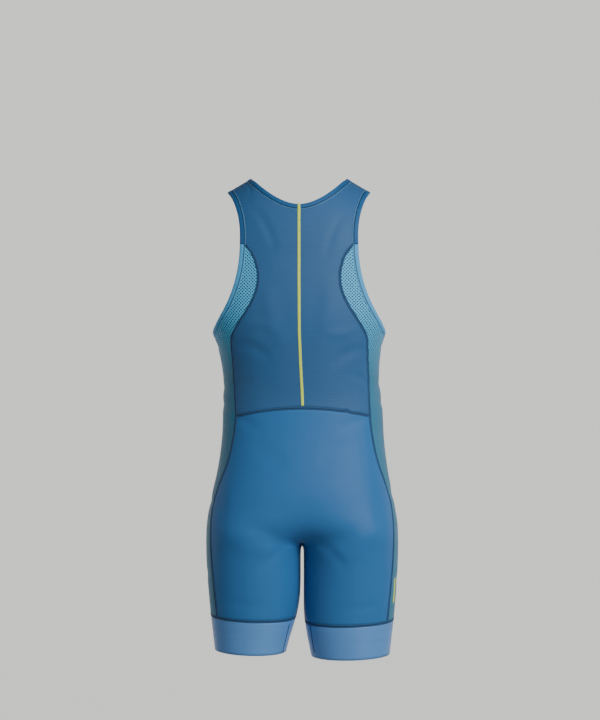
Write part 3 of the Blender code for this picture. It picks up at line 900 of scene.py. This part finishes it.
def merged(pieces):
    """Several bmeshes as one."""
    whole = pieces[0]
    for piece in pieces[1:]:
        mesh = bpy.data.meshes.new("part")
        piece.to_mesh(mesh)
        piece.free()
        whole.from_mesh(mesh)
        bpy.data.meshes.remove(mesh)
    return whole


def leg_point(side, turn, z):
    """The cloth's place and way out at a turn round a leg."""
    axis = Vector((side * LEG_AXIS[0], LEG_AXIS[1], z)) * MM
    way = Vector((side * math.cos(turn), -math.sin(turn), 0))
    place, normal, _, _ = cloth_tree().ray_cast(axis, way)
    if place is None:
        raise RuntimeError(f"no cloth is found round the leg at height {z}")
    return place, normal


def way_off(verts, inside):
    """A way off the cloth at any place near these open-edge vertices."""
    places = np.array([vert.co for vert in verts])
    ways = np.array([vert.co - inside[vert] for vert in verts])

    def away(place):
        nearest = np.linalg.norm(places - np.array(place), axis=1).argmin()
        return Vector(ways[nearest])

    return away


def binding_stations(run):
    """Stations along an open edge's run of edges, with across pointing off the cloth."""
    inside = {}
    for edge in run:
        for vert in edge.verts:
            inside[vert] = edge.link_faces[0].calc_center_median()
    verts, closed = ordered(run)
    middles = way_off(verts, inside)
    return stations_on([v.co for v in verts], [v.normal for v in verts], closed, middles)


def open_edge(name):
    """The open edge called neck, armhole_right or armhole_left."""
    runs = []
    for run in open_edges():
        verts = [vert.co for edge in run for vert in edge.verts]
        low, high = min(v.z for v in verts), max(v.z for v in verts)
        left, right = min(v.x for v in verts), max(v.x for v in verts)
        runs.append((run, low, high, left, right))
    upper = [row for row in runs if row[2] > -0.2]
    if name == "neck":
        return next(row[0] for row in upper if row[3] < 0 < row[4])
    if name == "armhole_right":
        return next(row[0] for row in upper if row[3] > 0)
    return next(row[0] for row in upper if row[4] < 0)


def armhole_parts(side):
    """The armhole's stations over the strap and under the arm, two runs that share their ends."""
    run = list(open_edge("armhole_right" if side > 0 else "armhole_left"))
    layer = whole_cloth().faces.layers.int["panel"]
    mesh_panel = SIDE_RIGHT if side > 0 else SIDE_LEFT
    middles = np.array([(edge.verts[0].co + edge.verts[1].co) / 2 for edge in run])
    meshed = [edge.link_faces[0][layer] == mesh_panel for edge in run]
    stations = binding_stations(run)
    below = []
    for station in stations:
        nearest = np.linalg.norm(middles - np.array(station.at), axis=1).argmin()
        below.append(meshed[nearest])
    start = next(k for k, under in enumerate(below) if under and not below[k - 1])
    turned = stations[start:] + stations[:start]
    count = sum(below)
    return turned[count - 1 :] + turned[:1], turned[:count]


# The lamps: where each is, what it faces, how wide it is in metres, and its colour
KEY_LAMP = ((2.2, -2.9, 0.9), (0, 0, -0.45), 1.9, (1.0, 0.985, 0.96))
FILL_LAMP = ((-2.8, -2.6, 0.4), (0, 0, -0.5), 1.6, (0.95, 0.98, 1.0))
TOP_LAMP = ((0.3, -1.2, 2.2), (0, 0, -0.3), 1.5, (1, 1, 1))
AIR_COLOUR = (0.60, 0.62, 0.64, 1)
AIR_STRENGTH = 0.07
CAMERA_AT = (0.002, -4.0, -0.353)
CAMERA_LENS = 102.6

# The backdrop's curve up from the floor: out from the floor's rim, and up, in metres
SWEEP_RADIUS = 6.6
SWEEP_CURVE = tuple(
    (1.4 * math.sin(math.radians(turn)), 1.4 * (1 - math.cos(math.radians(turn))))
    for turn in range(10, 91, 10)
) + ((1.4, 4.5),)


class UnisuitColours(bpy.types.PropertyGroup):
    back: bpy.props.FloatVectorProperty(
        name="Back", description="Knit of the upper back", subtype="COLOR", size=3,
        min=0, max=1, default=(0.028, 0.126, 0.320),
    )
    seat: bpy.props.FloatVectorProperty(
        name="Seat and front", description="Satin knit of the seat and front", subtype="COLOR",
        size=3, min=0, max=1, default=(0.034, 0.160, 0.410),
    )
    mesh: bpy.props.FloatVectorProperty(
        name="Mesh", description="Threads of the side mesh", subtype="COLOR", size=3,
        min=0, max=1, default=(0.110, 0.560, 0.960),
    )
    band: bpy.props.FloatVectorProperty(
        name="Leg bands", description="Satin of the leg bands", subtype="COLOR", size=3,
        min=0, max=1, default=(0.100, 0.290, 0.660),
    )
    trim: bpy.props.FloatVectorProperty(
        name="Binding", description="Binding of neck and straps", subtype="COLOR", size=3,
        min=0, max=1, default=(0.018, 0.108, 0.285),
    )
    trim_light: bpy.props.FloatVectorProperty(
        name="Underarm binding", description="Binding under the arms", subtype="COLOR", size=3,
        min=0, max=1, default=(0.080, 0.380, 0.720),
    )
    seam: bpy.props.FloatVectorProperty(
        name="Seams", description="Thread of the flat seams", subtype="COLOR", size=3,
        min=0, max=1, default=(0.020, 0.080, 0.210),
    )
    thread_light: bpy.props.FloatVectorProperty(
        name="Stitches", description="Needle thread", subtype="COLOR", size=3,
        min=0, max=1, default=(0.130, 0.330, 0.560),
    )
    lime: bpy.props.FloatVectorProperty(
        name="Lime", description="Back tape and thigh bar", subtype="COLOR", size=3,
        min=0, max=1, default=(0.800, 0.990, 0.140),
    )


class UnisuitCloth(bpy.types.PropertyGroup):
    wall: bpy.props.FloatProperty(
        name="Cloth", description="Thickness of the cloth", subtype="DISTANCE", unit="LENGTH",
        min=0.001, max=0.003, default=0.002,
    )


class UnisuitStudio(bpy.types.PropertyGroup):
    floor: bpy.props.FloatProperty(
        name="Floor", description="Height of the floor", subtype="DISTANCE", unit="LENGTH",
        default=-1.53,
    )
    key: bpy.props.FloatProperty(
        name="Key", description="Power of the large lamp on the right", unit="POWER",
        min=0, default=128.0,
    )
    fill: bpy.props.FloatProperty(
        name="Fill", description="Power of the weak lamp on the left", unit="POWER",
        min=0, default=5.0,
    )
    top: bpy.props.FloatProperty(
        name="Top", description="Power of the lamp overhead", unit="POWER", min=0, default=16.0,
    )
    paper: bpy.props.FloatVectorProperty(
        name="Backdrop", description="Colour of the lit backdrop", subtype="COLOR", size=3,
        min=0, max=1, default=(0.860, 0.860, 0.840),
    )


class UNISUIT_OT_panels(bpy.types.Operator):
    """Build the cloth panels and the leg bands"""

    bl_idname = "unisuit.panels"
    bl_label = "Cloth panels"

    def execute(self, context):
        wall = context.scene.unisuit_cloth.wall
        for number, name in enumerate(PANELS):
            shown = name.replace("_panel", "_cloth").replace("leg_band", "leg_band_cloth")
            made, cut = make_panel(number, wall, shown)
        return {"FINISHED"}


class UNISUIT_OT_bindings(bpy.types.Operator):
    """Build the turned bindings of the neck and the armholes"""

    bl_idname = "unisuit.bindings"
    bl_label = "Bindings"

    def execute(self, context):
        neck = sweep(binding_stations(open_edge("neck")), BINDING, True)
        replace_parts(finished("neck_binding_cloth", neck, "trim_blue"), "neck_binding")
        for side, word in ((1, "right"), (-1, "left")):
            strap, under = armhole_parts(side)
            strap_piece = finished(
                f"strap_binding_cloth_{word}", sweep(strap, BINDING, False), "trim_blue"
            )
            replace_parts(strap_piece, f"strap_binding_{word}")
            under_piece = finished(
                f"underarm_binding_cloth_{word}", sweep(under, BINDING, False), "trim_light"
            )
            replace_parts(under_piece, f"underarm_binding_{word}")
        return {"FINISHED"}


class UNISUIT_OT_seams(bpy.types.Operator):
    """Build the flat seams between the panels"""

    bl_idname = "unisuit.seams"
    bl_label = "Flat seams"

    def execute(self, context):
        flatlock = cloth_finish("flatlock")
        lines = {
            "waist_seam": [((BACK,), (SEAT,))],
            "side_seams_right": [((SIDE_RIGHT,), (BACK, SEAT)), ((SIDE_RIGHT,), (FRONT,))],
            "side_seams_left": [((SIDE_LEFT,), (BACK, SEAT)), ((SIDE_LEFT,), (FRONT,))],
            "inseam": [((SEAT,), (FRONT,))],
            "band_seam_right": [((BAND_RIGHT,), (SEAT, FRONT, SIDE_RIGHT))],
            "band_seam_left": [((BAND_LEFT,), (SEAT, FRONT, SIDE_LEFT))],
        }
        for name, sides in lines.items():
            made = merged([seam_line(*pair) for pair in sides])
            finished(name, made, "trim_blue", flatlock)
        halves = []
        for sign in (1, -1):
            edges = [e for e in seam_edges((BACK,), (FRONT,)) if e.verts[0].co.x * sign > 0]
            run, closed = ordered(edges)
            stations = stations_on([v.co for v in run], [v.normal for v in run], closed)
            halves.append(sweep(stations, FLATLOCK, closed))
        finished("shoulder_seams", merged(halves), "trim_blue", flatlock)
        inseams = []
        for side in (1, -1):
            spots = [leg_point(side, BAND_INSEAM_TURN, z) for z in np.linspace(*BAND_INSEAM, 9)]
            places, outs = zip(*spots)
            inseams.append(sweep(stations_on(places, outs, False), NARROW_SEAM, False))
        finished("band_inseams", merged(inseams), "trim_blue", flatlock)
        return {"FINISHED"}


class UNISUIT_OT_tape(bpy.types.Operator):
    """Build the lime tape down the back"""

    bl_idname = "unisuit.tape"
    bl_label = "Back tape"

    def execute(self, context):
        heights = [row[0] for row in TAPE_LINE]
        across = [row[1] for row in TAPE_LINE]
        neck = binding_stations(open_edge("neck"))
        top = min((s for s in neck if s.at.y < 0), key=lambda s: abs(s.at.x))
        places, outs = [], []
        for z in np.linspace(heights[0], top.at.z / MM - 10, 70):
            start = Vector((float(np.interp(z, heights, across)), -400, z)) * MM
            place, normal, _, _ = cloth_tree().ray_cast(start, Vector((0, 1, 0)))
            places.append(place)
            outs.append(normal if normal.y < 0 else -normal)
        for reach in TAPE_OVER_BINDING:
            lift = TAPE_ABOVE_BINDING * float(ease((reach + 6) / 4))
            places.append(top.at + top.across * reach * MM + top.out * lift * MM)
            outs.append(top.out)
        stations = stations_on(places, outs, False, step=0.003)
        made = finished("back_tape_cloth", sweep(stations, TAPE, False), "tape_lime")
        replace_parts(made, "back_tape")
        return {"FINISHED"}


class UNISUIT_OT_thigh_bar(bpy.types.Operator):
    """Build the plain lime bar on the right thigh"""

    bl_idname = "unisuit.thigh_bar"
    bl_label = "Thigh bar"

    def execute(self, context):
        spots = [leg_point(1, THIGH_BAR_TURN, z) for z in np.linspace(*THIGH_BAR_SPAN, 12)]
        places, outs = zip(*spots)
        stations = stations_on(places, outs, False, step=0.003)
        finished("thigh_bar", sweep(stations, THIGH_BAR, False), "tape_lime")
        return {"FINISHED"}


def lamp(name, power, place, target, size, colour):
    data = bpy.data.lights.new(name, "AREA")
    data.shape = "DISK"
    data.size = size
    data.energy = power
    data.color = colour
    made = bpy.data.objects.new(name, data)
    made.location = place
    made.rotation_euler = (Vector(target) - Vector(place)).to_track_quat("-Z", "Y").to_euler()
    bpy.context.scene.collection.objects.link(made)
    return made


def paper_finish(colour):
    """Lit studio paper, brightest behind the suit."""
    finish = Finish("studio_paper")
    _, depth, _ = finish.parts(finish.place())
    grain = finish.noise(1.5, 3.0)
    behind = (depth - 1.0) / 1.5
    finish.shade(
        Base_Color=finish.blend(grain * 0.1, darker(colour, 0.20), darker(colour, 0.18)),
        Roughness=0.9,
        Specular_IOR_Level=0.1,
        Emission_Color=finish.blend(behind, darker(colour, 0.24), colour),
        Emission_Strength=1.0,
    )
    return finish.material


class UNISUIT_OT_studio(bpy.types.Operator):
    """Build the pale floor and backdrop, the lamps and the camera"""

    bl_idname = "unisuit.studio"
    bl_label = "Studio"

    def execute(self, context):
        studio = context.scene.unisuit_studio
        sweep_mesh = bmesh.new()
        bmesh.ops.create_circle(sweep_mesh, cap_ends=True, segments=96, radius=SWEEP_RADIUS)
        rim = [edge for edge in sweep_mesh.edges if edge.is_boundary]
        for out, up in SWEEP_CURVE:
            made = bmesh.ops.extrude_edge_only(sweep_mesh, edges=rim)["geom"]
            rim = [item for item in made if isinstance(item, bmesh.types.BMEdge)]
            for vert in (item for item in made if isinstance(item, bmesh.types.BMVert)):
                flat = Vector((vert.co.x, vert.co.y, 0)).normalized()
                vert.co = flat * (SWEEP_RADIUS + out) + Vector((0, 0, up))
        bmesh.ops.reverse_faces(sweep_mesh, faces=sweep_mesh.faces[:])
        bmesh.ops.translate(sweep_mesh, vec=(0, 0, studio.floor), verts=sweep_mesh.verts[:])
        mesh = bpy.data.meshes.new("studio_sweep")
        sweep_mesh.to_mesh(mesh)
        sweep_mesh.free()
        mesh.shade_smooth()
        mesh.materials.append(paper_finish(tuple(studio.paper)))
        made = bpy.data.objects.new("studio_sweep", mesh)
        context.scene.collection.objects.link(made)

        lamp("key", studio.key, *KEY_LAMP)
        lamp("fill", studio.fill, *FILL_LAMP)
        lamp("top", studio.top, *TOP_LAMP)

        world = bpy.data.worlds.new("studio_air")
        world.use_nodes = True
        air = world.node_tree.nodes["Background"]
        air.inputs["Color"].default_value = AIR_COLOUR
        air.inputs["Strength"].default_value = AIR_STRENGTH
        context.scene.world = world

        view = bpy.data.cameras.new("camera")
        view.sensor_width = 36
        view.lens = CAMERA_LENS
        camera = bpy.data.objects.new("camera", view)
        camera.location = CAMERA_AT
        camera.rotation_euler = (math.radians(90), 0, 0)
        context.scene.collection.objects.link(camera)
        context.scene.camera = camera
        return {"FINISHED"}


class UNISUIT_PT_pieces(bpy.types.Panel):
    bl_idname = "UNISUIT_PT_pieces"
    bl_label = "Rowing unisuit"
    bl_space_type = "VIEW_3D"
    bl_region_type = "UI"
    bl_category = "Unisuit"

    def draw(self, context):
        scene = context.scene
        for group in (scene.unisuit_cloth, scene.unisuit_colours, scene.unisuit_studio):
            for name in group.__annotations__:
                self.layout.prop(group, name)
        for operator in OPERATORS:
            self.layout.operator(operator.bl_idname)


GROUPS = {
    "unisuit_cloth": UnisuitCloth,
    "unisuit_colours": UnisuitColours,
    "unisuit_studio": UnisuitStudio,
}
OPERATORS = (
    UNISUIT_OT_panels,
    UNISUIT_OT_bindings,
    UNISUIT_OT_seams,
    UNISUIT_OT_tape,
    UNISUIT_OT_thigh_bar,
    UNISUIT_OT_studio,
)


def register():
    for group in (*GROUPS.values(), *OPERATORS, UNISUIT_PT_pieces):
        bpy.utils.register_class(group)
    for name, group in GROUPS.items():
        setattr(bpy.types.Scene, name, bpy.props.PointerProperty(type=group))


def unregister():
    for name in GROUPS:
        delattr(bpy.types.Scene, name)
    for group in (UNISUIT_PT_pieces, *reversed(OPERATORS), *reversed(list(GROUPS.values()))):
        bpy.utils.unregister_class(group)


def main():
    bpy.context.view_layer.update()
    register()
    for operator in OPERATORS:
        group, name = operator.bl_idname.split(".")
        getattr(getattr(bpy.ops, group), name)()


if __name__ == "__main__":
    main()
